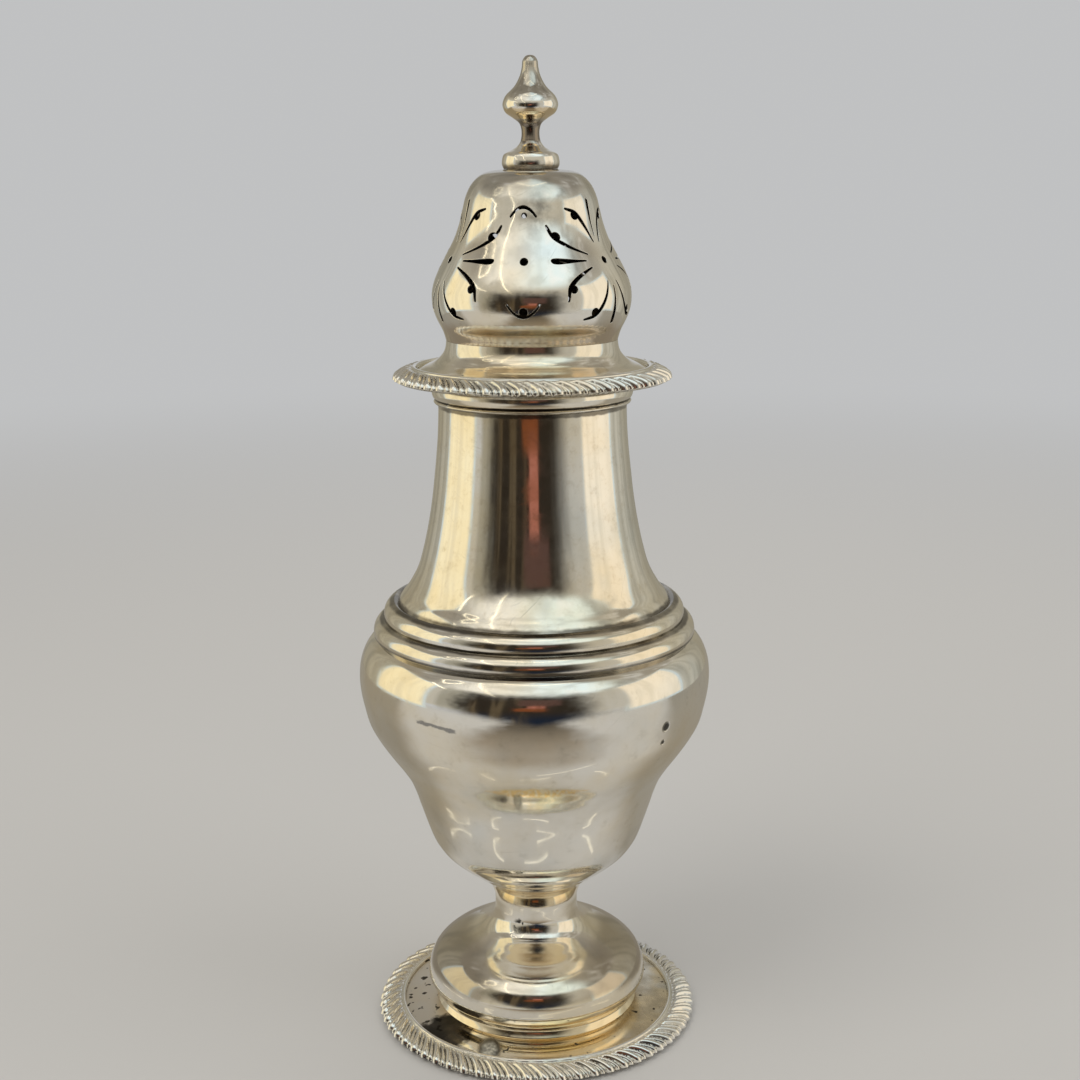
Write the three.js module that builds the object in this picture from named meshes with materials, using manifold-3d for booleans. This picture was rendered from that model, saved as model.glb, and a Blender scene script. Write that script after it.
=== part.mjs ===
// A baluster caster: a pear-shaped silver shaker on a spreading foot, with a pierced lift-off cover.
// Millimetres, +Z up. The origin is on the axis, at the underside of the foot.
import * as THREE from 'three';
import { mergeVertices } from 'three/addons/utils/BufferGeometryUtils.js';
import Module from 'manifold-3d';

const wasm = await Module();
wasm.setup();

// Driving dimensions
const HEIGHT = 200; // foot to finial tip
const FOOT_RADIUS = 34.3; // over the foot's gadroon border
const FOOT_DOME_RADIUS = 23.4;
const STEM_RADIUS = 8.8;
const BELLY_RADIUS = 36.5;
const MOUTH_RADIUS = 19.05; // outside of the neck's straight lip
const FLANGE_RADIUS = 28; // over the cover's gadroon border
const WAIST_RADIUS = 17.2; // foot of the pierced dome
const DOME_RADIUS = 19.85;
const WALL = 0.9; // thickness of the raised sheet
const GAP = 0.3; // clearance where two pieces meet

// Levels on the axis, from the foot up
const TRAY_TOP = 3.2;
const RIM_THICKNESS = 0.7; // of the foot's flat rim, which stands on the table
const STEM_RING_LOW = 24.75;
const STEM_RING_HIGH = 26.2;
const BOWL_BOTTOM = 31.2;
const GIRDLE_LOW = 85.3;
const GIRDLE_HIGH = 92.0;
const MOUTH_MOULDING_LOW = 132.8;
const MOUTH_MOULDING_HIGH = 137.4;
const LIP_TOP = 140.3;
const BEZEL_LOW = 127;
const BEZEL_TOP = 141.2;
const WAIST_LEVEL = 145.45;
const CROWN_LEVEL = 178.6;
const FINIAL_SHOULDER = 184.1;

// Gadroon borders
const FOOT_LOBES = 62;
const FLANGE_LOBES = 50;
const STEPS_PER_LOBE = 3;
const LOBE_SLANT = 1.1; // how far a lobe leans from inner to outer edge, in lobes
const LOBE_SWELL = 0.55;

// Pierced pattern: three stars with a column of small holes between each pair
const REPEATS = 3;
const STAR_LEVEL = 161.5;
const FIRST_STAR = 54; // azimuth in degrees, from the front (-Y) towards +X
const FIRST_COLUMN = -4.7;
const ARCH_LEVEL = 169.7; // of both ends of the arched slot
const ARCH_DOT_LEVEL = 169.9;
const SMILE_LEVEL = 153.6; // of both ends of the slot that bows down
const SMILE_DOT_LEVEL = 152.2;

// Facets round the axis
const BODY_SEGMENTS = 24;
const COVER_SEGMENTS = 24;
const SMALL_SEGMENTS = 16;

// Material colours
const SILVER = { color: 0xd9d4c8, roughness: 0.18, metalness: 1 };
const GILDED_SILVER = { color: 0xd6cdb6, roughness: 0.24, metalness: 1 };

// Points along a smooth curve through [radius, height] stations.
function smooth(stations, steps) {
  return new THREE.SplineCurve(stations.map(toPoint)).getPoints(steps);
}

function toPoint([radius, height]) {
  return new THREE.Vector2(radius, height);
}

// The same line moved sideways, to its left as it is drawn, by a distance.
function beside(line, distance) {
  return line.map((point, i) => {
    const along = line[Math.min(i + 1, line.length - 1)].clone().sub(line[Math.max(i - 1, 0)]);
    const left = new THREE.Vector2(-along.y, along.x).normalize();
    return point.clone().addScaledVector(left, distance);
  });
}

// A sheet's section: the outer line drawn upwards, then back down inside it by the wall's
// thickness. The hidden inner line has half the points.
function sheet(outer, thickness = WALL) {
  const last = outer.length - 1;
  const inner = beside(outer, thickness).filter((_, i) => i % 2 === 0 || i === last);
  return [...outer, ...inner.reverse()];
}

// One closed solid: shared corners merged, empty triangles dropped and faces turned outwards.
function closed(geometry) {
  for (const name of ['normal', 'uv']) geometry.deleteAttribute(name);
  const merged = mergeVertices(geometry, 1e-4);
  const corners = merged.index.array;
  const kept = [];
  for (let i = 0; i < corners.length; i += 3) {
    const [a, b, c] = corners.slice(i, i + 3);
    if (a !== b && b !== c && c !== a) kept.push(a, b, c);
  }
  if (volume(merged.attributes.position, kept) < 0) kept.reverse();
  merged.setIndex(kept);
  merged.computeVertexNormals();
  return merged;
}

// Six times the signed volume inside a triangle mesh.
function volume(position, index) {
  const corner = [0, 1, 2].map(() => new THREE.Vector3());
  let total = 0;
  for (let i = 0; i < index.length; i += 3) {
    corner.forEach((point, k) => point.fromBufferAttribute(position, index[i + k]));
    total += corner[0].dot(corner[1].cross(corner[2]));
  }
  return total;
}

// Turns a section round the axis. A section that leaves the axis closes on itself.
function turned(section, segments) {
  const onAxis = section[0].x === 0;
  const line = onAxis ? section : [...section, section[0]];
  return closed(new THREE.LatheGeometry(line, segments).rotateX(Math.PI / 2));
}

// Radians from degrees.
const turn = (degrees) => THREE.MathUtils.degToRad(degrees);

// A ring of slanting lobes. Each corner of its section is [radius, height, outward swell,
// upward swell, slant], the last three as shares of the lobe's own swell and slant.
function gadroonRing(section, lobes) {
  const steps = lobes * STEPS_PER_LOBE;
  const size = section.length;
  const positions = [];
  const index = [];
  for (let i = 0; i < steps; i++) {
    const swell = LOBE_SWELL * Math.sin((Math.PI * (i % STEPS_PER_LOBE)) / STEPS_PER_LOBE);
    for (const [radius, height, outward, upward, slant] of section) {
      const azimuth = (2 * Math.PI * (i / STEPS_PER_LOBE + LOBE_SLANT * slant)) / lobes;
      const reach = radius + swell * outward;
      positions.push(reach * Math.sin(azimuth), -reach * Math.cos(azimuth), height + swell * upward);
    }
    for (let k = 0; k < size; k++) {
      const a = i * size + k;
      const b = i * size + ((k + 1) % size);
      const c = ((i + 1) % steps) * size + k;
      const d = ((i + 1) % steps) * size + ((k + 1) % size);
      index.push(a, b, c, c, b, d);
    }
  }
  const geometry = new THREE.BufferGeometry();
  geometry.setAttribute('position', new THREE.Float32BufferAttribute(positions, 3));
  geometry.setIndex(index);
  return closed(geometry);
}

// Foot

function footGadroon() {
  const inner = 28.9;
  return gadroonRing(
    [
      [inner, RIM_THICKNESS + 1.5 * GAP, 0, 0, 0],
      [inner + 0.2, 2.75, 0, 0, 0],
      [inner + 2.5, 2.2, 0, 1, 0.5],
      [FOOT_RADIUS - LOBE_SWELL, RIM_THICKNESS + GAP / 2, 1, 0, 1],
    ],
    FOOT_LOBES,
  );
}

// A flat ring dished slightly towards the dome, with a low rim that stands on the table.
function footFlange() {
  const section = [
    [21.6, TRAY_TOP - WALL],
    [27.6, 1.4],
    [28.5, 0],
    [32.2, 0],
    [32.2, RIM_THICKNESS],
    [28.8, RIM_THICKNESS],
    [28.5, 2.3],
    [21.6, TRAY_TOP],
  ];
  return turned(section.map(toPoint), BODY_SEGMENTS);
}

// The bun-shaped dome, with an undercut below it and the lower stem drawn up from it.
function footDome() {
  const outer = smooth(
    [
      [21.7, TRAY_TOP + GAP],
      [20.9, 4.4],
      [21.1, 5.5],
      [22.3, 6.1],
      [FOOT_DOME_RADIUS - 0.05, 7.9],
      [FOOT_DOME_RADIUS, 9.3],
      [23.0, 11.2],
      [21.9, 13.3],
      [19.8, 15.2],
      [17.0, 16.7],
      [14.0, 17.9],
      [11.2, 19.3],
      [9.7, 20.8],
      [STEM_RADIUS + 0.15, 22.6],
      [STEM_RADIUS, STEM_RING_LOW - GAP],
    ],
    15,
  );
  return turned(sheet(outer), BODY_SEGMENTS);
}

// Stem

// The ring between foot and bowl, flush with both, at the narrowest place of the stem.
function stemRing() {
  const bore = STEM_RADIUS - WALL;
  const section = [
    [bore, STEM_RING_LOW],
    [STEM_RADIUS, STEM_RING_LOW],
    [STEM_RADIUS + 0.1, STEM_RING_HIGH],
    [bore, STEM_RING_HIGH],
  ];
  return turned(section.map(toPoint), BODY_SEGMENTS);
}

// The trumpet that carries the bowl.
function stemSpool() {
  const outer = smooth(
    [
      [STEM_RADIUS + 0.1, STEM_RING_HIGH + GAP],
      [9.5, 28.2],
      [10.5, 29.7],
      [11.8, BOWL_BOTTOM - GAP],
    ],
    4,
  );
  const inner = smooth(
    [
      [10.4, BOWL_BOTTOM - GAP],
      [9.2, 29.6],
      [8.5, 28.2],
      [STEM_RADIUS - WALL, STEM_RING_HIGH + GAP],
    ],
    3,
  );
  return turned([...outer, ...inner], BODY_SEGMENTS);
}

// Body

// Bowl and belly in one raised sheet, closed at the bottom, tucked in at the top behind the girdle.
function lowerBody() {
  const outer = smooth(
    [
      [0, BOWL_BOTTOM],
      [7.5, BOWL_BOTTOM + 0.05],
      [12.2, BOWL_BOTTOM + 0.5],
      [17.0, 35.0],
      [19.5, 37.2],
      [21.1, 39.3],
      [22.35, 41.8],
      [24.45, 48.0],
      [25.4, 51.0],
      [26.8, 54.4],
      [28.8, 57.6],
      [31.1, 60.8],
      [33.2, 64.0],
      [34.75, 67.0],
      [35.6, 70.2],
      [36.25, 73.5],
      [BELLY_RADIUS, 76.5],
      [36.15, 79.3],
      [35.3, 81.8],
      [34.0, 83.7],
      [32.4, 84.95],
      [31.3, 86.7],
      [30.45, 88.2],
    ],
    17,
  );
  const section = sheet(outer);
  section[section.length - 1].x = 0;
  return turned(section, BODY_SEGMENTS);
}

// Two half-round reeds between three grooves, each wider than the one above.
function reededGirdle() {
  const top = new THREE.Vector2(28.9, GIRDLE_HIGH);
  const foot = new THREE.Vector2(33.1, GIRDLE_LOW);
  const reeds = 2;
  const rise = 0.95;
  const stepsPerReed = 4;
  const back = beside([top, foot], -0.4);
  const front = [];
  const outward = new THREE.Vector2(top.y - foot.y, foot.x - top.x).normalize();
  for (let i = 0; i <= reeds * stepsPerReed; i++) {
    const swell = rise * Math.abs(Math.sin((Math.PI * i) / stepsPerReed));
    const point = foot.clone().lerp(top, i / (reeds * stepsPerReed));
    front.push(point.addScaledVector(outward, swell));
  }
  return turned([...front, ...back], BODY_SEGMENTS);
}

// The waisted neck, from behind the girdle up to the straight lip that the cover stands on.
function upperBody() {
  const outer = smooth(
    [
      [30.15, 88.6],
      [29.3, 90.0],
      [28.2, 91.8],
      [27.2, 93.35],
      [25.9, 95.0],
      [23.9, 98.7],
      [22.6, 103.0],
      [21.4, 108.5],
      [20.45, 114.5],
      [19.75, 121.0],
      [19.3, 126.0],
      [MOUTH_RADIUS + 0.02, 131.0],
      [MOUTH_RADIUS, 136.0],
      [MOUTH_RADIUS, LIP_TOP],
    ],
    10,
  );
  return turned(sheet(outer), BODY_SEGMENTS);
}

// A bold half-round band over a thin bead, soldered round the mouth.
function mouthMoulding() {
  const back = MOUTH_RADIUS + GAP;
  const section = [
    [back, MOUTH_MOULDING_LOW],
    [back + 0.35, MOUTH_MOULDING_LOW],
    [back + 0.6, MOUTH_MOULDING_LOW + 0.45],
    [back + 0.35, MOUTH_MOULDING_LOW + 1],
    [back + 0.75, MOUTH_MOULDING_LOW + 1.5],
    [back + 1.0, MOUTH_MOULDING_LOW + 2.5],
    [back + 0.75, MOUTH_MOULDING_LOW + 3.6],
    [back + 0.3, MOUTH_MOULDING_HIGH],
    [back, MOUTH_MOULDING_HIGH],
  ];
  return turned(section.map(toPoint), BODY_SEGMENTS);
}

// Cover

// The plain sleeve inside the collar that keeps the cover on the neck.
function bezel() {
  const radius = MOUTH_RADIUS - WALL - GAP;
  const section = [
    [radius - WALL, BEZEL_LOW],
    [radius - 0.25, BEZEL_LOW],
    [radius, BEZEL_LOW + 0.6],
    [radius, BEZEL_TOP - 0.2],
    [radius - WALL, BEZEL_TOP],
  ];
  return turned(section.map(toPoint), COVER_SEGMENTS);
}

// A hollow collar that sweeps out to the thin flange under the border.
function coverCollar() {
  const outer = smooth(
    [
      [26.2, 137.7],
      [24.9, 138.4],
      [23.35, 139.2],
      [21.4, 140.35],
      [19.4, 141.3],
      [18.0, 142.6],
      [17.4, 143.9],
      [WAIST_RADIUS, WAIST_LEVEL - GAP],
    ],
    7,
  );
  return turned(sheet(outer, 0.7), COVER_SEGMENTS);
}

function coverGadroon() {
  const inner = 23.45;
  return gadroonRing(
    [
      [inner, 139.6, 0, 0, 0],
      [inner + 0.2, 140.15, 0, 0, 0],
      [inner + 2.2, 139.25, 0, 1, 0.5],
      [FLANGE_RADIUS - LOBE_SWELL, 137.35, 1, 0, 1],
    ],
    FLANGE_LOBES,
  );
}

// The double-curved outline of the dome, drawn upwards from the waist.
const DOME_LINE = new THREE.SplineCurve(
  [
    [WAIST_RADIUS, WAIST_LEVEL],
    [17.8, 147.3],
    [19.1, 149.9],
    [19.8, 152.4],
    [DOME_RADIUS, 155.2],
    [19.0, 158.0],
    [17.3, 161.5],
    [15.4, 165.0],
    [14.2, 168.2],
    [13.5, 171.0],
    [12.8, 173.6],
    [11.5, 176.0],
    [9.3, 177.8],
    [5.8, CROWN_LEVEL - 0.15],
    [1.4, CROWN_LEVEL],
  ].map(toPoint),
);

// Length along the dome's outline up to a level.
function domeLength(level) {
  let low = 0;
  let high = 1;
  for (let i = 0; i < 30; i++) {
    const middle = (low + high) / 2;
    if (DOME_LINE.getPointAt(middle).y < level) low = middle;
    else high = middle;
  }
  return low * DOME_LINE.getLength();
}

// A cutter for one hole. Its outline is laid on the dome like paper, millimetres across and up
// from a centre at an azimuth and a level, and the cutter passes through the wall square to it.
function domeCutter(outline, azimuth, level) {
  const start = domeLength(level);
  const reach = 1.5;
  const positions = [];
  for (const side of [-reach, reach]) {
    for (const { x: across, y: up } of outline) {
      const share = (start + up) / DOME_LINE.getLength();
      const point = DOME_LINE.getPointAt(share);
      const tangent = DOME_LINE.getTangentAt(share);
      const bearing = turn(azimuth) + across / point.x;
      const radius = point.x + side * tangent.y;
      const height = point.y - side * tangent.x;
      positions.push(radius * Math.sin(bearing), -radius * Math.cos(bearing), height);
    }
  }
  const count = outline.length;
  const index = [];
  for (const [a, b, c] of THREE.ShapeUtils.triangulateShape(outline, [])) {
    index.push(c, b, a, a + count, b + count, c + count);
  }
  for (let i = 0; i < count; i++) {
    const next = (i + 1) % count;
    index.push(i, next, next + count, i, next + count, i + count);
  }
  const geometry = new THREE.BufferGeometry();
  geometry.setAttribute('position', new THREE.Float32BufferAttribute(positions, 3));
  geometry.setIndex(index);
  return toManifold(closed(geometry));
}

// A point of the pattern in polar form.
function polar(radius, degrees) {
  return new THREE.Vector2(radius * Math.cos(turn(degrees)), radius * Math.sin(turn(degrees)));
}

// A round hole.
function dot(radius, centre = new THREE.Vector2(), sides = 6) {
  return Array.from({ length: sides }, (_, i) => polar(radius, (360 * i) / sides).add(centre));
}

// A slot along a curve, pointed at both ends, with a width at each point between them.
function slot(centreline, widths) {
  const half = (side) => widths.map((width, i) => {
    const along = centreline[i + 2].clone().sub(centreline[i]).normalize();
    const across = new THREE.Vector2(-along.y, along.x);
    return centreline[i + 1].clone().addScaledVector(across, (side * width) / 2);
  });
  return [centreline[0], ...half(-1), centreline[centreline.length - 1], ...half(1).reverse()];
}

// Straight drop, thin towards the star's centre and broad near its far end.
function drop(axis, reach, breadth) {
  const stations = [0.42, 0.93, 1].map((share) => polar(reach * share, axis));
  return slot(stations, [breadth]);
}

// Curved petal that curls towards the quadrant's diagonal, with a round berry on its hollow
// side. The outline starts at its thin end and gives the share of the reach, and the degrees
// past the spread at which the petal leaves the axis. The hand mirrors it about the axis.
function petal(axis, hand, reach, spread) {
  const outline = [
    [0.33, 0],
    [0.62, 1.4],
    [0.88, 7.2],
    [1, 16],
    [0.905, 11.8],
    [0.875, 14.6],
    [0.795, 14.6],
    [0.745, 8.2],
  ];
  const points = outline.map(([share, degrees]) => polar(reach * share, axis + hand * (spread + degrees)));
  return hand > 0 ? points : points.reverse();
}

// Four drops on the axes, each with a petal on either side. The petals that point down reach
// further than the others, and the two round the upper drop stand closer to it.
function star() {
  return [
    dot(0.72),
    drop(0, 12.3, 1.05),
    petal(0, 1, 12.8, 18),
    petal(0, -1, 14, 18),
    drop(90, 12.2, 0.7),
    petal(90, 1, 12, 14),
    petal(90, -1, 12, 14),
    drop(180, 12.3, 1.05),
    petal(180, -1, 12.8, 18),
    petal(180, 1, 14, 18),
    drop(270, 12.6, 0.9),
    petal(270, 1, 13.9, 18),
    petal(270, -1, 13.9, 18),
  ];
}

// An arched slot, bowed up by a height over its width, down if the height is negative.
function bow(width, height, thickness) {
  const steps = 3;
  const centreline = Array.from({ length: steps + 1 }, (_, i) => {
    const across = (2 * i) / steps - 1;
    return new THREE.Vector2((across * width) / 2, height * (1 - across * across));
  });
  return slot(centreline, new Array(steps - 1).fill(thickness));
}

function toManifold(geometry) {
  const vertProperties = new Float32Array(geometry.attributes.position.array);
  const triVerts = new Uint32Array(geometry.index.array);
  return new wasm.Manifold(new wasm.Mesh({ numProp: 3, vertProperties, triVerts }));
}

function fromManifold(manifold) {
  const mesh = manifold.getMesh();
  const geometry = new THREE.BufferGeometry();
  geometry.setAttribute('position', new THREE.Float32BufferAttribute(mesh.vertProperties, 3));
  geometry.setIndex(Array.from(mesh.triVerts));
  return closed(geometry);
}

// The thin dome with every hole of the pattern cut through its wall.
function piercedDome() {
  const outer = DOME_LINE.getPoints(10);
  let dome = toManifold(turned(sheet(outer), COVER_SEGMENTS));
  for (let k = 0; k < REPEATS; k++) {
    const starAzimuth = FIRST_STAR + (360 * k) / REPEATS;
    const columnAzimuth = FIRST_COLUMN + (360 * k) / REPEATS;
    const holes = [
      ...star().map((outline) => [outline, starAzimuth, STAR_LEVEL]),
      [dot(0.78), columnAzimuth, STAR_LEVEL],
      [bow(4.9, 1.8, 0.65), columnAzimuth, ARCH_LEVEL],
      [dot(0.52), columnAzimuth, ARCH_DOT_LEVEL],
      [bow(6.3, -2.4, 0.6), columnAzimuth, SMILE_LEVEL],
      [dot(0.85), columnAzimuth, SMILE_DOT_LEVEL],
    ];
    for (const [outline, azimuth, level] of holes) {
      dome = dome.subtract(domeCutter(outline, azimuth, level));
    }
  }
  return fromManifold(dome);
}

// The small trumpet between dome and finial, bored for the finial's tang.
function finialBase() {
  const bore = 1.2;
  const section = [
    [bore, CROWN_LEVEL + GAP],
    [5.5, CROWN_LEVEL + GAP],
    [5.65, 180.2],
    [5.2, 181.4],
    [3.75, 182.2],
    [2.6, 182.9],
    [1.9, FINIAL_SHOULDER - GAP],
    [bore, FINIAL_SHOULDER - GAP],
  ];
  return turned(section.map(toPoint), SMALL_SEGMENTS);
}

// A turned knop with a drawn-out tip, and the tang that passes down through the dome's crown.
function finial() {
  const tang = 0.85;
  const knop = smooth(
    [
      [1.88, FINIAL_SHOULDER],
      [1.75, 185.0],
      [1.8, 186.1],
      [2.2, 187.2],
      [3.3, 188.05],
      [4.75, 189.05],
      [5.38, 190.3],
      [5.3, 191.4],
      [4.65, 192.6],
      [3.05, 194.2],
      [2.05, 196.0],
      [1.62, 197.6],
      [1.45, 198.9],
      [0.85, HEIGHT - 0.25],
      [0, HEIGHT],
    ],
    14,
  );
  const tangEnd = CROWN_LEVEL - 2;
  const foot = [[0, tangEnd], [tang, tangEnd], [tang, FINIAL_SHOULDER]].map(toPoint);
  return turned([...foot, ...knop], SMALL_SEGMENTS);
}

// Assembly

const caster = new THREE.Group();

function add(group, name, geometry, look = SILVER) {
  const mesh = new THREE.Mesh(geometry, new THREE.MeshStandardMaterial(look));
  mesh.name = name;
  group.add(mesh);
}

const body = new THREE.Group();
add(body, 'foot_gadroon', footGadroon());
add(body, 'foot_flange', footFlange());
add(body, 'foot_dome', footDome());
add(body, 'stem_ring', stemRing());
add(body, 'stem_spool', stemSpool());
add(body, 'lower_body', lowerBody());
add(body, 'reeded_girdle', reededGirdle());
add(body, 'upper_body', upperBody());
add(body, 'mouth_moulding', mouthMoulding());

const cover = new THREE.Group();
add(cover, 'bezel', bezel(), GILDED_SILVER);
add(cover, 'cover_collar', coverCollar());
add(cover, 'cover_gadroon', coverGadroon());
add(cover, 'pierced_dome', piercedDome());
add(cover, 'finial_base', finialBase());
add(cover, 'finial', finial());

caster.add(body, cover);

export default caster;
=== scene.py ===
# %% [markdown]
# # A silver sugar caster
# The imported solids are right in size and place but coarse, and polished silver shows every facet.
# So each solid is replaced by a finer surface from the same outline, and the rest of the lesson
# is about silver itself: what it mirrors, how it tarnishes and where it wears bright.

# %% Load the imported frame
import math

import bmesh
import bpy
import numpy as np
from mathutils import Euler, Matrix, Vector
from mathutils.geometry import delaunay_2d_cdt


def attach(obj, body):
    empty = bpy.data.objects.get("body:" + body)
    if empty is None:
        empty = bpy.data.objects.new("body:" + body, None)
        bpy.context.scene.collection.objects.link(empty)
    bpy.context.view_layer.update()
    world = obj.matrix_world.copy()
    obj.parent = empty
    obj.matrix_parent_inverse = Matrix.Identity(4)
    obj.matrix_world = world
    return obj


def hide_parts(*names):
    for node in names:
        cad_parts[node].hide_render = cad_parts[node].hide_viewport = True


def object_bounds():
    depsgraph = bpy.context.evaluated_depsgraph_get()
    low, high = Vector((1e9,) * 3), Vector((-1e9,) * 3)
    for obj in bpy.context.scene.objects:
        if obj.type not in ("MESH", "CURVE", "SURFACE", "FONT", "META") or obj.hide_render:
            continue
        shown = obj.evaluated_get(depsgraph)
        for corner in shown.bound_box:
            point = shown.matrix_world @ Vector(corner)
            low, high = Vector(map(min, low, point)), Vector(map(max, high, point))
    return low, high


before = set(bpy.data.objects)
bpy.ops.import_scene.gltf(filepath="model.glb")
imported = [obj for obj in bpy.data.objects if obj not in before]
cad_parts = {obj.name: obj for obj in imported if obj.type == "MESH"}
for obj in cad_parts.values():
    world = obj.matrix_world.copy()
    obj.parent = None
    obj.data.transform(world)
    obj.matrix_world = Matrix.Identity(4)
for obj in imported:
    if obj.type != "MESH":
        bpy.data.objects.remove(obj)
CAD_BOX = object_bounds()
MM = 0.001
print("frame", [round(side / MM, 2) for side in CAD_BOX[1]])

# %% [markdown]
# ## The driving sizes
# These are the outline's own sizes in millimetres, the same as in the solids. Levels are heights
# above the table, and radii are measured from the upright axis.

# %% Sizes and levels
WALL = 0.9
FOOT_DOME_RADIUS = 23.4
STEM_RADIUS = 8.8
BELLY_RADIUS = 36.5
MOUTH_RADIUS = 19.05
WAIST_RADIUS = 17.2
DOME_RADIUS = 19.85
TRAY_TOP = 3.2
FOOT_LOBES, COVER_LOBES = 62, 50
STEM_RING_LOW, STEM_RING_HIGH = 24.75, 26.3
BOWL_BOTTOM = 31.2
GIRDLE_LOW, GIRDLE_HIGH = 85.3, 92
MOUTH_MOULDING_LOW = 132.8
LIP_TOP = 140.3
BEZEL_LOW, BEZEL_TOP = 127, 141.2
WAIST_LEVEL = 145.45
CROWN_LEVEL = 178.6
FINIAL_SHOULDER = 184.1
HEIGHT = CAD_BOX[1][2] / MM

# %% [markdown]
# ## Surfaces from numbers
# A turned piece is one closed line carried round the axis: a smooth curve through a few stations
# and a second one beside it for the inside of the sheet. Every point comes from one array
# expression, and one call fills the mesh, which is far faster than adding face by face.

# %% Lines
def smooth(stations, steps=60):
    """A smooth line through stations: between two of them it is the cubic whose slope at each
    end is half the step between that station's neighbours."""
    p = np.asarray(stations, float)
    padded = np.vstack([p[:1], p, p[-1:]])
    place = np.linspace(0, len(p) - 1, steps + 1)
    i = np.minimum(place.astype(int), len(p) - 2)
    w = (place - i)[:, None]
    p0, p1, p2, p3 = (padded[i + k] for k in range(4))
    v0, v1 = (p2 - p0) / 2, (p3 - p1) / 2
    return (2 * (p1 - p2) + v0 + v1) * w**3 + (3 * (p2 - p1) - 2 * v0 - v1) * w**2 + v0 * w + p1


def unit(vectors):
    """Each vector divided by its length."""
    return vectors / np.linalg.norm(vectors, axis=-1, keepdims=True)


def directions(line):
    """Unit vectors along a line, (dx, dy), and to its left, (-dy, dx)."""
    along = unit(np.gradient(line, axis=0))
    return along, np.stack([-along[:, 1], along[:, 0]], 1)


def beside(line, distance):
    """The line moved to its left by a distance."""
    return line + distance * directions(line)[1]


def sheet(outer, thickness=WALL):
    """A wall's closed section: up the outer line and back down the inner one."""
    return np.vstack([outer, beside(outer, thickness)[::-1]])


def set_back(side, radius):
    """The way from a corner along its side: a radius, but at most 2/5 of the side."""
    length = np.linalg.norm(side, axis=1)[:, None]
    return side / length * np.minimum(radius, length / 2.5)


def rounded(corners, radius, steps=4):
    """A closed outline with its corners rounded: each corner becomes the curve
    (1 - t)^2 start + 2 t (1 - t) corner + t^2 end, from a radius before it to one after it."""
    p = np.asarray(corners, float)
    start = p + set_back(np.roll(p, 1, 0) - p, radius)
    end = p + set_back(np.roll(p, -1, 0) - p, radius)
    t = np.linspace(0, 1, steps + 1)[None, :, None]
    curve = (1 - t)**2 * start[:, None] + 2 * t * (1 - t) * p[:, None] + t**2 * end[:, None]
    return curve.reshape(-1, 2)


# %% Meshes
def around(azimuth, radius, height):
    """Points at an azimuth from the front: x = r sin(a), y = -r cos(a)."""
    return np.stack([radius * np.sin(azimuth), -radius * np.cos(azimuth), height], -1)


def fill_mesh(name, points, faces):
    """A mesh from points in millimetres and faces with equal numbers of corners."""
    mesh = bpy.data.meshes.new(name)
    mesh.vertices.add(len(points))
    mesh.vertices.foreach_set("co", (points * MM).astype(np.float32).ravel())
    mesh.loops.add(faces.size)
    mesh.loops.foreach_set("vertex_index", faces.astype(np.int32).ravel())
    mesh.polygons.add(len(faces))
    starts = np.arange(0, faces.size, faces.shape[1], dtype=np.int32)
    mesh.polygons.foreach_set("loop_start", starts)
    mesh.update(calc_edges=True)
    return mesh


def weld(mesh, distance=1e-7):
    """Merges points that coincide, as on the axis, and drops what collapses."""
    work = bmesh.new()
    work.from_mesh(mesh)
    bmesh.ops.remove_doubles(work, verts=work.verts, dist=distance)
    work.to_mesh(mesh)
    work.free()
    return mesh


def grid_faces(rows, columns):
    """Quads of a grid closed both ways: row i, column k is point i * columns + k."""
    i, k = np.meshgrid(np.arange(rows), np.arange(columns), indexing="ij")
    i, k = i.ravel(), k.ravel()
    i1, k1 = (i + 1) % rows, (k + 1) % columns
    return np.stack([i * columns + k, i1 * columns + k, i1 * columns + k1, i * columns + k1], 1)


def turned(name, section, segments=192):
    """The closed section, drawn anticlockwise, carried round the axis."""
    azimuth = np.linspace(0, 2 * np.pi, segments, endpoint=False)[:, None]
    radius, height = np.asarray(section, float).T
    points = around(azimuth, radius, np.broadcast_to(height, (segments, len(height))))
    return weld(fill_mesh(name, points.reshape(-1, 3), grid_faces(segments, len(section))))


# %% [markdown]
# ## Pieces on the frame
# Every finished mesh stands in for one solid and moves with its body, so the cover comes off with
# all its pieces. The smooth shading breaks only at edges that are sharp on the real one.

# %% Pieces on the frame
PIECES = []


def linked(name, data):
    """A new object in the scene."""
    thing = bpy.data.objects.new(name, data)
    bpy.context.collection.objects.link(thing)
    return thing


def stand_for(mesh, body, node, sharp=38):
    """Puts a finished mesh on its body in place of a solid."""
    piece = linked(mesh.name, mesh)
    mesh.shade_smooth()
    mesh.set_sharp_from_angle(angle=math.radians(sharp))
    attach(piece, body)
    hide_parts(node)
    PIECES.append(piece)
    print(f"{piece.name:16s} {len(mesh.loops) - 2 * len(mesh.polygons):7d} triangles")
    return piece


# %% [markdown]
# ## The view
# The photograph was taken from close by, a little above the cover, looking down. Its lens and
# place were worked out from how the round edges flatten, so the render has the same perspective.

# %% Camera
CAMERA_DISTANCE = 318.7
CAMERA_HEIGHT = 176.65
LOOKING_DOWN = math.radians(12.83)
LEAN = math.radians(-0.37)
SIDEWAYS = math.radians(0.24)
FOCAL_LENGTH = 52.87

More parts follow.
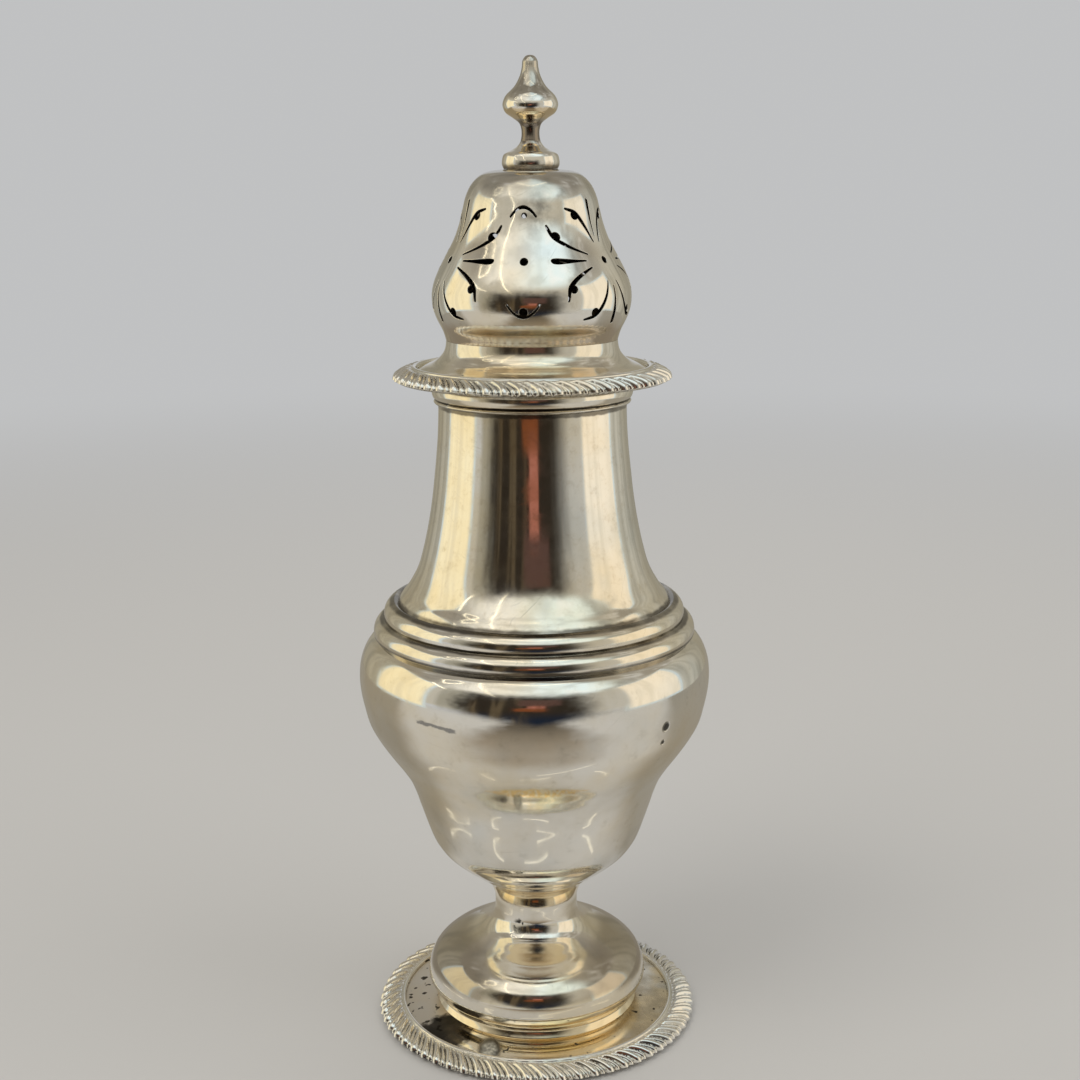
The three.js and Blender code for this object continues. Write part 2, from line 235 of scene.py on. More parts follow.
camera_data = bpy.data.cameras.new("camera")
camera_data.lens = FOCAL_LENGTH
camera_data.sensor_width = 36
camera_data.clip_start = 0.01
camera = linked("camera", camera_data)
camera.location = Vector((0, -CAMERA_DISTANCE, CAMERA_HEIGHT)) * MM
aim = Euler((math.pi / 2 - LOOKING_DOWN, 0, -SIDEWAYS)).to_matrix()
camera.rotation_euler = (aim @ Euler((0, 0, LEAN)).to_matrix()).to_euler()
bpy.context.scene.camera = camera
print("camera", [round(c, 4) for c in camera.location], "m, lens", FOCAL_LENGTH, "mm")

# %% [markdown]
# ## Foot
# The foot is a bun-shaped dome on a shallow tray, both raised from sheet. The tray is a turned
# outline with rounded corners. The dome is the wall between a smooth line and a second one beside
# it, so its thickness is even, also in the undercut.

# %% Foot tray and dome
foot_tray = turned("foot_tray", rounded(
    [[20.6, TRAY_TOP - WALL], [27.6, 1.4], [28.5, 0], [32.2, 0], [32.2, 1], [29.6, 1.1],
     [28.6, 2.3], [20.6, TRAY_TOP]], 0.3))
stand_for(foot_tray, "body", "foot_flange")

stem_line = smooth(
    [[21.7, TRAY_TOP - 0.05], [20.95, 4.3], [21.1, 5.5], [22.3, 6.1],
     [FOOT_DOME_RADIUS - 0.05, 7.9], [FOOT_DOME_RADIUS, 9.3], [23, 11.2], [21.9, 13.3],
     [19.8, 15.2], [17, 16.7], [14, 17.9], [11.2, 19.3], [9.7, 20.8],
     [STEM_RADIUS + 0.15, 22.6], [STEM_RADIUS, 24.75], [STEM_RADIUS + 0.1, 26.4], [9.5, 28.2],
     [10.5, 29.8], [12.15, 31.35]], 210)


def stretch(line, low, high):
    """The stretch of a line between two heights."""
    return line[np.searchsorted(line[:, 1], low):np.searchsorted(line[:, 1], high) + 1]


bun_line = stretch(stem_line, 0, STEM_RING_LOW)
stand_for(turned("foot_bun", sheet(bun_line)), "body", "foot_dome")

# %% [markdown]
# ## Borders of lobes
# Both borders are castings: a plain bead, then lobes that start narrow, lean and swell to the
# edge. Copies of one lobe would have to be joined round a curved bed. One formula on a grid gives
# the whole ring instead, and each point keeps its depth, which the finish darkens as residue and
# as painted shade.

# %% Borders of lobes
LOBE_SWELL = 1
LOBE_LEAN = 1.15
LOBE_SHARE = 0.66
LOBE_POWER = 0.6
REED_HEIGHT = 0.72
SWELL_START = 0.25
POINTS_PER_LOBE = 20
# how dark the finish makes the borders' undersides: painted shade and residue
UNDERSIDE_HOLLOW = 0.6


def store(mesh, name, values):
    """Keeps one number for each point of the mesh, for a material to read."""
    attribute = mesh.attributes.new(name, "FLOAT", "POINT")
    attribute.data.foreach_set("value", np.asarray(values, np.float32))


def lobed_border(name, lobes, across, start, underside):
    """A ring of leaning lobes. The base line across it has a small bead, then the lobes' bed,
    where v runs from 0 to 1. The phase is the azimuth in lobes less the lean times v. Each turn
    of it has a broad lobe, |sin(pi p / share)|^power, and a thin reed. The swell grows over the
    first part of the bed and points away from the base line."""
    azimuth = np.linspace(0, 2 * np.pi, lobes * POINTS_PER_LOBE, endpoint=False)[:, None]
    line = smooth(across, 44)
    v = np.clip((line[:, 0] - start) / (line[:, 0].max() - start), 0, 1)[None, :]
    phase = azimuth * lobes / (2 * np.pi) - LOBE_LEAN * v * (1.5 - 0.5 * v)
    p = phase % 1
    broad = np.abs(np.sin(np.pi * p / LOBE_SHARE))**LOBE_POWER
    reed = np.abs(np.sin(np.pi * (p - LOBE_SHARE) / (1 - LOBE_SHARE)))**LOBE_POWER
    lobe = np.where(p < LOBE_SHARE, broad, REED_HEIGHT * reed)
    grow = np.clip(v / SWELL_START, 0, 1)
    grow = grow * grow * (3 - 2 * grow)
    swell = LOBE_SWELL * grow * (lobe * (1 + 0.2 * v) - 0.5)
    up = beside(line, 1) - line
    under = np.asarray(underside, float)
    size = len(azimuth), len(under)
    radius, height = (np.hstack([line[:, k] + swell * up[:, k],
                                 np.broadcast_to(under[:, k], size)]) for k in (0, 1))
    faces = grid_faces(len(azimuth), radius.shape[1])[:, ::-1]
    mesh = fill_mesh(name, around(azimuth, radius, height).reshape(-1, 3), faces)
    pit = grow * (1 - lobe) * (1.15 - 0.35 * v)
    # the finish darkens grooves and undersides by these values: residue and painted shade
    store(mesh, "hollow", np.hstack([pit, np.full(size, UNDERSIDE_HOLLOW)]).ravel())
    return mesh


foot_border = lobed_border(
    "foot_border", FOOT_LOBES,
    [[28.75, 2.1], [28.8, 2.75], [29.15, 3], [29.55, 2.8], [29.7, 2.5], [30.9, 2.45], [32.2, 2.1],
     [33.4, 1.5], [33.8, 0.8]], 29.7,
    [[33, 0.55], [30.5, 1]])
stand_for(foot_border, "body", "foot_gadroon", sharp=70)

# %% [markdown]
# ## Stem, bowl and neck
# The body was raised from two sheets and joined behind the girdle. Foot, ring and trumpet follow
# one line, cut at the ring's edges, so their seams hardly show. All pieces meet without the
# solids' clearances.

# %% Stem
ring_line = stretch(stem_line, STEM_RING_LOW, STEM_RING_HIGH)
stand_for(turned("stem_collar", sheet(ring_line)), "body", "stem_ring")
trumpet_line = stretch(stem_line, STEM_RING_HIGH, BOWL_BOTTOM + 1)
stand_for(turned("stem_trumpet", sheet(trumpet_line)), "body", "stem_spool")

# %% Bowl and belly
bowl_line = smooth(
    [[0, BOWL_BOTTOM], [7.5, BOWL_BOTTOM + 0.05], [12, BOWL_BOTTOM + 0.2], [14.4, 33.1],
     [17, 35], [19.5, 37.2], [21.1, 39.3], [22.35, 41.8], [24.45, 48], [25.4, 51],
     [26.8, 54.4], [28.8, 57.6], [31.1, 60.8], [33.2, 64], [34.75, 67], [35.6, 70.2],
     [36.25, 73.5], [BELLY_RADIUS - 0.06, 76.5], [36.15, 79.3], [35.3, 81.8], [34, 83.7],
     [32.4, 84.95], [31.3, 86.7], [30.45, 88.2]], 200)
bowl_section = sheet(bowl_line)
bowl_section[-1, 0] = 0
BELLY_SEGMENTS, FINE_SEGMENTS = 248, 256
stand_for(turned("belly", bowl_section, BELLY_SEGMENTS), "body", "lower_body")

# %% [markdown]
# ## Girdle and mouth
# The girdle covers the joint of bowl and neck: two half-round reeds between three grooves,
# soldered on. A straight slant plus |sin|^power makes both reeds in one line. The mouth has a bead
# and a broader band, which are drawn from the neck's own radius.

# %% Girdle
REED_RISE = 0.95
REED_POWER = 0.75
GIRDLE_DEPTH = 0.7
girdle_top = np.array([28.75, GIRDLE_HIGH + 0.25])
girdle_foot = np.array([33.15, GIRDLE_LOW - 0.15])
slant = girdle_top - girdle_foot
outward = unit(np.array([slant[1], -slant[0]]))
climb = np.linspace(0, 1, 61)[:, None]
reed = np.abs(np.sin(2 * np.pi * climb))**REED_POWER
girdle_front = girdle_foot + climb * slant + REED_RISE * reed * outward
girdle_back = np.array([girdle_top, girdle_foot]) - GIRDLE_DEPTH * outward
girdle = turned("girdle", np.vstack([girdle_front, girdle_back]), FINE_SEGMENTS)
stand_for(girdle, "body", "reeded_girdle", sharp=75)

# %% Neck and mouth
neck_line = smooth(
    [[30.15, 88.6], [29.3, 90], [28.2, 91.8], [27.2, 93.35], [25.9, 95], [23.9, 98.7],
     [22.6, 103], [21.4, 108.5], [20.45, 114.5], [19.75, 121], [19.3, 126],
     [MOUTH_RADIUS + 0.02, 131], [MOUTH_RADIUS, 136], [MOUTH_RADIUS, LIP_TOP]], 120)
stand_for(turned("neck", sheet(neck_line), FINE_SEGMENTS), "body", "upper_body")

mouth = np.array([MOUTH_RADIUS, MOUTH_MOULDING_LOW])
bead = mouth + [[-0.1, 0], [0.55, 0.02], [0.9, 0.45], [0.55, 0.9]]
band = mouth + [[0.5, 1], [1.05, 1.4], [1.3, 2.5], [1.1, 3.6], [0.5, 4.5]]
mouth_section = np.vstack([smooth(bead, 14), smooth(band, 20), mouth + [[-0.1, 4.6]]])
stand_for(turned("mouth_band", mouth_section), "body", "mouth_moulding", sharp=60)

# %% [markdown]
# ## Cover
# The cover lifts off. A plain sleeve inside its collar slides into the neck, and the collar
# sweeps out to a thin flange with its own border of lobes.

# %% Sleeve, collar and border
SLEEVE_GAP = 0.3
COLLAR_WALL = 0.7
sleeve_radius = MOUTH_RADIUS - WALL - SLEEVE_GAP
sleeve = turned("sleeve", rounded(
    [[sleeve_radius - WALL, BEZEL_LOW], [sleeve_radius - 0.25, BEZEL_LOW],
     [sleeve_radius, BEZEL_LOW + 0.7], [sleeve_radius, BEZEL_TOP],
     [sleeve_radius - WALL, BEZEL_TOP]], 0.2))
stand_for(sleeve, "cover", "bezel")

collar_line = smooth(
    [[26.4, 137.75], [24.9, 138.65], [23.35, 139.35], [21.4, 140.35], [19.4, 141.3], [18, 142.6],
     [17.4, 143.9], [WAIST_RADIUS, WAIST_LEVEL - 0.05]], 60)
stand_for(turned("collar", sheet(collar_line, COLLAR_WALL)), "cover", "cover_collar")

cover_border = lobed_border(
    "cover_border", COVER_LOBES,
    [[23.3, 139.5], [23.35, 140.1], [23.7, 140.4], [24.15, 140.25], [24.35, 139.9], [25.3, 139.55],
     [26.4, 139], [27.2, 138.4], [27.45, 137.7]], 24.35,
    [[26.9, 137.3], [25.2, 137.95]])
stand_for(cover_border, "cover", "cover_gadroon", sharp=70)

# %% [markdown]
# ## Pierced dome
# The holes were sawn by hand, so their walls are square to the surface, and polish has rounded
# their edges. Cutting them out of a finished dome would leave torn shading. The pattern is drawn
# flat instead, in millimetres round and up the dome. One triangulation keeps every outline as an
# edge, the triangles inside are left out, and the rest is laid on the dome and given its
# thickness and a rounded rim.

# %% The dome's outline by length
dome_line = smooth(
    [[WAIST_RADIUS, WAIST_LEVEL - 0.1], [17.8, 147.3], [19.1, 149.9], [19.8, 152.4],
     [DOME_RADIUS - 0.03, 155.2], [19, 158], [17.3, 161.5], [15.4, 165], [14.2, 168.2],
     [13.5, 171], [12.8, 173.6], [11.5, 176], [9.3, 177.8], [5.8, CROWN_LEVEL - 0.15],
     [1.4, CROWN_LEVEL]], 600)
dome_length = np.concatenate([[0], np.cumsum(np.linalg.norm(np.diff(dome_line, axis=0), axis=1))])
print("dome outline", round(dome_length[-1], 2), "mm")


def along_dome(length):
    """Radius, height and outward direction at a length up the dome's outline."""
    radius, height = (np.interp(length, dome_length, dome_line[:, k]) for k in (0, 1))
    tangent = np.gradient(dome_line, dome_length, axis=0)
    rise = [np.interp(length, dome_length, tangent[:, k]) for k in (0, 1)]
    size = np.hypot(*rise)
    return radius, height, rise[1] / size, -rise[0] / size


def length_at(level):
    """Length up the outline at a height."""
    return np.interp(level, dome_line[:, 1], dome_length)


# %% Outlines of the holes
def polar(radius, degrees):
    """Points of the pattern at a radius and an angle from a star's centre."""
    angle = np.radians(degrees)
    return np.stack([radius * np.cos(angle), radius * np.sin(angle)], -1)


def round_hole(radius, centre=(0, 0), points=20):
    """A circle."""
    return polar(np.full(points, radius), np.arange(points) * 360 / points) + np.asarray(centre)


def sawn_slot(route, widths, steps=14):
    """A slot along a smooth route, as wide as the widths say, closed by half circles."""
    line = smooth(route, steps)
    half = np.interp(np.linspace(0, 1, steps + 1), np.linspace(0, 1, len(widths)), widths) / 2
    along, left = directions(line)
    side = half[:, None] * left
    bend = np.radians(np.linspace(75, -75, 6))[:, None]

    def cap(k, way):
        """The half circle at one end."""
        return line[k] + half[k] * (way * np.cos(bend) * along[k] + way * np.sin(bend) * left[k])

    return np.vstack([line + side, cap(-1, 1), (line - side)[::-1], cap(0, -1)])


def drop(axis, reach, breadth):
    """A straight drop: a thread near the star's centre, round and broad far from it."""
    route = polar(reach * np.array([0.42, 0.6, 0.77, 0.91, 0.98]), axis)
    return sawn_slot(route, breadth * np.array([0.26, 0.5, 0.87, 1.15, 0.98]))


def petal(axis, hand, reach, spread):
    """A petal that leaves the axis at the spread and curls towards the quadrant's diagonal."""
    curl = np.array([0, 2.5, 5.5, 9, 16])
    route = polar(reach * np.array([0.33, 0.55, 0.74, 0.88, 1]), axis + hand * (spread + curl))
    return sawn_slot(route, [0.25, 0.58, 0.76, 0.76, 0.36])


def berry(axis, hand, reach, spread):
    """The round hole that joins the petal's hollow side."""
    return round_hole(0.84, polar(0.835 * reach, axis + hand * (spread + 10.5)), 18)


def eyebrow(width, rise, thickness):
    """A bowed slot: rise * (1 - x^2) over its width, thinner at the ends."""
    x = np.linspace(-1, 1, 7)
    return sawn_slot(np.stack([x * width / 2, rise * (1 - x**2)], 1), [0.3, thickness, 0.3], 18)


# %% Lay the pattern out
REPEATS = 3
STAR_LEVEL = 161.5
FIRST_STAR, FIRST_COLUMN = 54, -4.7
drops = [(0, 12.3, 1.05), (90, 12.2, 0.65), (180, 12.3, 1.05), (270, 12.6, 0.85)]
petals = [(0, 1, 12.8, 18), (0, -1, 14, 18), (90, 1, 12, 14), (90, -1, 12, 14),
          (180, -1, 12.8, 18), (180, 1, 14, 18), (270, 1, 13.9, 18), (270, -1, 13.9, 18)]
star = [round_hole(0.72)] + [drop(*sizes) for sizes in drops]
star += [shape(*sizes) for sizes in petals for shape in (petal, berry)]
column = [
    (round_hole(0.78), STAR_LEVEL),
    (eyebrow(4.9, 1.8, 0.65) - (0.4, 0), 169.7),
    (round_hole(0.52) - (0.2, 0), 169.9),
    (eyebrow(6.3, -2.4, 0.6), 153.6),
    (round_hole(0.85), 152.2),
]
holes = [(outline, FIRST_STAR, STAR_LEVEL) for outline in star]
holes += [(outline, FIRST_COLUMN, level) for outline, level in column]
SEAM = math.radians(99.4)
FLAT_RADIUS = 17
FLAT_WIDTH = 2 * np.pi * FLAT_RADIUS


def lay_flat(outline, azimuth, level):
    """An outline round its centre as flat points: bearing times a fixed radius, and length."""
    length = length_at(level) + outline[:, 1]
    bearing = math.radians(azimuth) + outline[:, 0] / along_dome(length)[0]
    bearing = (bearing - SEAM) % (2 * np.pi)
    x, y = bearing * FLAT_RADIUS, length
    clockwise = np.sum(x * np.roll(y, -1) - y * np.roll(x, -1)) < 0
    return np.stack([x, y], 1)[::-1 if clockwise else 1]


flat_holes = [lay_flat(outline, azimuth + 360 * k / REPEATS, level)
              for k in range(REPEATS) for outline, azimuth, level in holes]
print("holes", len(flat_holes))

# %% Triangulate the flat sheet
GRID = 0.9
RIM_CLEARANCE = 0.42
total = dome_length[-1]
columns, rows = round(FLAT_WIDTH / GRID), round(total / GRID)
gx, gy = np.meshgrid(np.linspace(0, FLAT_WIDTH, columns + 1), np.linspace(0, total, rows + 1))
grid = np.stack([gx.ravel(), gy.ravel()], 1)
rim_points = np.vstack(flat_holes)
nearest = np.full(len(grid), np.inf)
for chunk in np.array_split(rim_points, 40):
    away = grid[:, None] - chunk
    nearest = np.minimum(nearest, np.hypot(away[..., 0], away[..., 1]).min(1))
edge = ((grid == 0) | (grid == grid.max(0))).any(1)
grid = grid[edge | (nearest > RIM_CLEARANCE)]
starts = np.concatenate([[0], np.cumsum([len(h) for h in flat_holes])])
hole_faces = [list(range(a, b)) for a, b in zip(starts[:-1], starts[1:])]
flat = np.vstack([rim_points, grid])
made = delaunay_2d_cdt([Vector(p) for p in flat], [], hole_faces, 0, 1e-5, True)
flat = np.array([v[:] for v in made[0]])
triangles = np.array([face for face, inside in zip(made[2], made[5]) if not inside])
print("flat triangles", len(triangles))

# %% Join the seam, find the rims
STEPS_PER_MM = 1e4
flat[flat[:, 0] > FLAT_WIDTH - 10 / STEPS_PER_MM, 0] = 0
key = np.round(flat * STEPS_PER_MM).astype(np.int64)
_, first, joined = np.unique(key, axis=0, return_index=True, return_inverse=True)
flat, triangles = flat[first], joined.ravel()[triangles]
used, renumbered = np.unique(triangles, return_inverse=True)
flat, triangles = flat[used], renumbered.reshape(-1, 3)
sides = np.vstack([triangles[:, [0, 1]], triangles[:, [1, 2]], triangles[:, [2, 0]]])
code = np.sort(sides, 1) @ np.array([len(flat), 1])
_, where, count = np.unique(code, return_index=True, return_counts=True)
rim = sides[where[count == 1]]
print("rim edges", len(rim))

# %% Lay it on the dome
RIM_ROUNDING = 0.1
bearing = flat[:, 0] / FLAT_RADIUS + SEAM
radius, height, out_r, out_z = along_dome(flat[:, 1])
surface = around(bearing, radius, height)
normal = around(bearing, out_r, out_z)
edge_way = surface[rim[:, 1]] - surface[rim[:, 0]]
inward = unit(np.cross(normal[rim[:, 0]], edge_way))
to_metal = np.zeros_like(surface)
np.add.at(to_metal, rim[:, 0], inward)
np.add.at(to_metal, rim[:, 1], inward)
length = np.linalg.norm(to_metal, axis=1)[:, None]
to_metal = np.divide(to_metal, length, out=np.zeros_like(to_metal), where=length > 0)
outer = surface + RIM_ROUNDING * to_metal
waist = surface - RIM_ROUNDING * normal
inner = surface - (WALL - RIM_ROUNDING) * normal
lining = surface - WALL * normal + RIM_ROUNDING * to_metal
points = np.vstack([outer, waist, inner, lining])
n = len(surface)
a, b = rim[:, 0], rim[:, 1]


def rim_faces(above, below):
    """Two triangles for each rim edge, between two layers of points."""
    return np.vstack([np.stack([b + above * n, a + above * n, a + below * n], 1),
                      np.stack([b + above * n, a + below * n, b + below * n], 1)])


faces = np.vstack([triangles, triangles[:, ::-1] + 3 * n,
                   rim_faces(0, 1), rim_faces(1, 2), rim_faces(2, 3)])
dome_mesh = fill_mesh("dome", points, faces)
dome_mesh.shade_smooth()
soft = np.vstack([normal, -to_metal, -to_metal, -normal])
# the finish darkens the hole walls and the inside by these values: painted shade and residue
store(dome_mesh, "hollow", np.repeat([0, 0.6, 1, 1], n))
stand_for(dome_mesh, "cover", "pierced_dome", sharp=180)
dome_mesh.normals_split_custom_set_from_vertices(soft.tolist())

# %% [markdown]
# ## Finial
# The finial is turned from solid silver: a small trumpet on the crown of the dome, a knop and a
# drawn-out tip with a ball.

# %% Finial
seat_line = smooth(
    [[5.3, CROWN_LEVEL - 0.05], [5.65, 179.4], [5.6, 180.4], [5.2, 181.4], [3.75, 182.2],
     [2.6, 182.9], [2, 183.7], [1.9, FINIAL_SHOULDER]], 50)
seat = np.vstack([[[1.2, CROWN_LEVEL - 0.05]], seat_line, [[1.2, FINIAL_SHOULDER]]])
stand_for(turned("finial_seat", seat, 96), "cover", "finial_base", sharp=50)

knop = smooth(
    [[1.88, FINIAL_SHOULDER - 0.1], [1.75, 185], [1.8, 186.1], [2.2, 187.2], [3.3, 188.05],
     [4.75, 189.05], [5.38, 190.3], [5.3, 191.4], [4.65, 192.6], [3.05, 194.2], [2.05, 196],
     [1.62, 197.6], [1.45, 198.9], [0.85, HEIGHT - 0.25], [0, HEIGHT]], 140)
tang_end, tang_radius = CROWN_LEVEL - 2, 0.85
tang = [[0, tang_end], [tang_radius, tang_end], [tang_radius, FINIAL_SHOULDER - 0.1]]
knop_mesh = turned("finial_knop", np.vstack([tang, knop]), 96)
stand_for(knop_mesh, "cover", "finial", sharp=50)

# %% [markdown]
# ## Shader maths as expressions
# A socket wrapped in a small class lets a mask be written as it is thought of, such as
# `1 - mask * 2`. Each operator adds its Math node. Every other node comes from one method.

# %% Sockets with operators
class Wire:
    """An output socket. Arithmetic on it adds Math nodes to its tree."""

    def __init__(self, tree, socket):
        self.tree, self.socket = tree, socket

    def math(self, operation, first, second=0):
        node = self.tree.nodes.new("ShaderNodeMath")
        node.operation = operation
        for slot, value in zip(node.inputs, (first, second)):
            plug(self.tree, slot, value)
        return Wire(self.tree, node.outputs[0])

    def __add__(self, other): return self.math("ADD", self, other)
    __radd__ = __add__
    def __sub__(self, other): return self.math("SUBTRACT", self, other)
    def __rsub__(self, other): return self.math("SUBTRACT", other, self)
    def __mul__(self, other): return self.math("MULTIPLY", self, other)
    __rmul__ = __mul__
    def __abs__(self): return self.math("ABSOLUTE", self)


def plug(tree, socket, value):
    """Links a wire to a socket, or sets the socket to a plain value. A colour gets alpha 1."""
    if isinstance(value, Wire):
        tree.links.new(value.socket, socket)
    else:
        socket.default_value = (*value, 1) if socket.type == "RGBA" else value


class Graph:
    """A node tree that is built by calls."""

    def __init__(self, tree):
        self.tree = tree
        tree.nodes.clear()

    def node(self, kind, inputs=None, output=0, **settings):
        """Adds a node: its settings first, then the values or links of its sockets."""
        node = self.tree.nodes.new("ShaderNode" + kind)
        for name, value in settings.items():
            setattr(node, name, value)
        for name, value in (inputs or {}).items():
            plug(self.tree, node.inputs[name], value)
        return Wire(self.tree, node.outputs[output])

    def step(self, value, low, high, start=0, end=1):
        """Rises smoothly from start to end while the value goes from low to high."""
        return self.node("MapRange", {"Value": value, "From Min": low, "From Max": high,
                                      "To Min": start, "To Max": end},
                         interpolation_type="SMOOTHSTEP")

    def between(self, value, low, high, soft):
        """1 while the value is between low and high, with soft edges outside them."""
        return self.step(value, low - soft, low) * self.step(value, high + soft, high)

    def mix(self, share, first, second):
        """The first colour, with a share of the second."""
        return self.node("Mix", {0: share, 6: first, 7: second}, 2, data_type="RGBA",
                         clamp_factor=True)

    def vector(self, operation, first, second=(0, 0, 0), output="Vector"):
        return self.node("VectorMath", {0: first, 1: second}, output, operation=operation)

    def noise(self, place, scale, detail=3, roughness=0.55, output=0):
        """Noise with a scale in waves per unit, or with one scale for each axis."""
        if isinstance(scale, tuple):
            place, scale = self.vector("MULTIPLY", place, scale), 1
        return self.node("TexNoise", {"Vector": place, "Scale": scale, "Detail": detail,
                                      "Roughness": roughness}, output)

    def millimetres(self):
        """The object's own coordinates in millimetres."""
        return self.vector("MULTIPLY", self.node("TexCoord", output="Object"), (1000, 1000, 1000))

    def xyz(self, vector):
        parts = self.node("SeparateXYZ", {"Vector": vector}).socket.node.outputs
        return [Wire(self.tree, part) for part in parts]

    def bearing(self, x, y):
        """The azimuth from the front in degrees: atan2(x, -y)."""
        return self.node("Math", {0: x, 1: 0 - y}, operation="ARCTAN2") * math.degrees(1)

    def end(self, kind, surface):
        node = self.tree.nodes.new("ShaderNode" + kind)
        self.tree.links.new(surface.socket, node.inputs["Surface"])


def blank(name):
    """A new material and the graph of its empty node tree."""
    material = bpy.data.materials.new(name)
    material.use_nodes = True
    return material, Graph(material.node_tree)


# %% [markdown]
# ## Silver
# Polished silver is nearly a mirror, so its character lies in small things: hairlines round the
# turned parts, cloudy patches, a warm bloom of tarnish with a few cold ones, dark residue with
# painted shade in grooves, and a sheet that is never quite even. A picture would have to be laid
# on with seams, so all of it comes from noise on the object's own coordinates in millimetres.

# %% Colours of silver
BRIGHT = (0.96, 0.935, 0.875)
WARM = (0.9, 0.79, 0.58)
COLD = (0.7, 0.76, 0.8)
DULL = (0.5, 0.45, 0.37)
GRIME_AND_SHADE = (0.05, 0.042, 0.03)
HAIRLINE_DEPTH = 0.0006
SCRATCH_DEPTH = 0.0015


class Coat:
    """What a finish has at each place: its colour, roughness and height in millimetres."""

    def __init__(self, g, colour, rough, height):
        self.g, self.colour, self.rough, self.height = g, colour, rough, height

    def lay(self, mask, colour, share=1, rough=0, height=0):
        """Mixes in a share of a colour where the mask is 1, and adds roughness and height."""
        self.colour = self.g.mix(mask * share, self.colour, colour)
        self.rough = self.rough + mask * rough
        self.height = self.height + mask * height


def silver(name, bloom=0.5, mist=0.06, waves=0.05, grooves=0, marks=None):
    """A silver finish: bloom is its share of warm tarnish, mist its base roughness, waves its
    unevenness in millimetres, grooves the darkness of hollows, which is residue and painted shade,
    marks what one piece adds, its own marks and on some pieces painted reflections."""
    material, g = blank(name)
    place = g.millimetres()
    clouds = g.noise(place, 0.035)
    mottle = g.noise(place, 0.35, 5, 0.65)
    cold_clouds = g.noise(g.vector("ADD", place, (40, 17, 63)), 0.05)
    lines = g.noise(place, (0.05, 0.05, 5), 3, 0.7)
    skewed = g.node("VectorRotate", {"Vector": place, "Rotation": (0.9, 0.4, 0.3)},
                    rotation_type="EULER_XYZ")
    cuts = g.noise(skewed, (0.12, 6, 0.12), 2, 0.6)
    warm = g.step(clouds + (mottle - 0.5) * 0.2, 0.52 - 0.3 * bloom, 0.86 - 0.3 * bloom)
    cold = g.step(cold_clouds + (mottle - 0.5) * 0.2, 0.5, 0.76)
    uneven = g.noise(place, 0.07, 2, 0.4) * waves
    coat = Coat(g, BRIGHT, mist + 0.07 * g.step(mottle, 0.35, 0.75),
                uneven + lines * HAIRLINE_DEPTH)
    coat.lay(warm, WARM, 0.8, rough=0.05)
    coat.lay(cold, COLD, 0.45)
    coat.lay(g.step(mottle, 0.55, 0.8), DULL, 0.32)
    coat.lay(g.step(cuts, 0.66, 0.74), GRIME_AND_SHADE, 0.12, 0.06, -SCRATCH_DEPTH)
    if grooves:
        hollow = g.node("Attribute", output="Fac", attribute_name="hollow")
        # painted shade and residue in hollows: darker where the hollow value is high
        dirt_and_shade = g.step(hollow + (mottle - 0.5) * 0.35, 0.45, 0.85) * grooves
        coat.lay(dirt_and_shade, GRIME_AND_SHADE, rough=0.3)
    if marks:
        marks(g, place, coat)
    bump = g.node("Bump", {"Strength": 1, "Distance": MM, "Height": coat.height})
    shader = g.node("BsdfPrincipled", {"Base Color": coat.colour, "Metallic": 1,
                                       "Roughness": coat.rough, "Normal": bump})
    g.end("OutputMaterial", shader)
    return material


# %% [markdown]
# ## Marks on single pieces
# Use leaves marks in certain places: pits and a scrape on the belly, residue where polish never
# reaches, specks and solder on the tray. A painted picture would blur from close by, so each mark
# is a mask over the object's own millimetres, made ragged by noise. Two more masks paint
# reflections: a golden band low on the belly and darker shoulders on the foot's dome.

# %% Places of the marks
PITS = [((25.6, -25.4, 72.3), 1.25), ((25.2, -25.2, 68.9), 0.75)]
PIT_DEPTH = 0.25
SCRAPE_LEVELS = 72.6, 72.95
SCRAPE_SIDES = -21.8, -15.5
BORDER_REFLECTION_LEVEL = 61
CROWN_CLOUD = (1.5, -13.6, 170.2), 5.5
STEM_FLECKS = (-3.4, -8.5, 21.9), 2.1
BLACK_PATCH = (-16, -14.4, 2.6), 6.6
SOLDER = (-9.8, -14.7, 2.6)
SOLDER_HEIGHT = 0.25
BORDER_REFLECTION_GOLD = (0.93, 0.66, 0.28)
SOOT = (0.02, 0.018, 0.015)
RESIDUE = (0.055, 0.042, 0.03)


def spot(g, place, centre, size, soft=0.5):
    """1 inside a ball round a point, falling to 0 over a part of its size."""
    away = g.vector("DISTANCE", place, centre, "Value")
    return g.step(away, size, size * (1 - soft))


def ragged(g, place, scale, reach):
    """Noise round 0, up to about half the reach, that makes an edge uneven."""
    return (g.noise(place, scale, 3) - 0.5) * reach


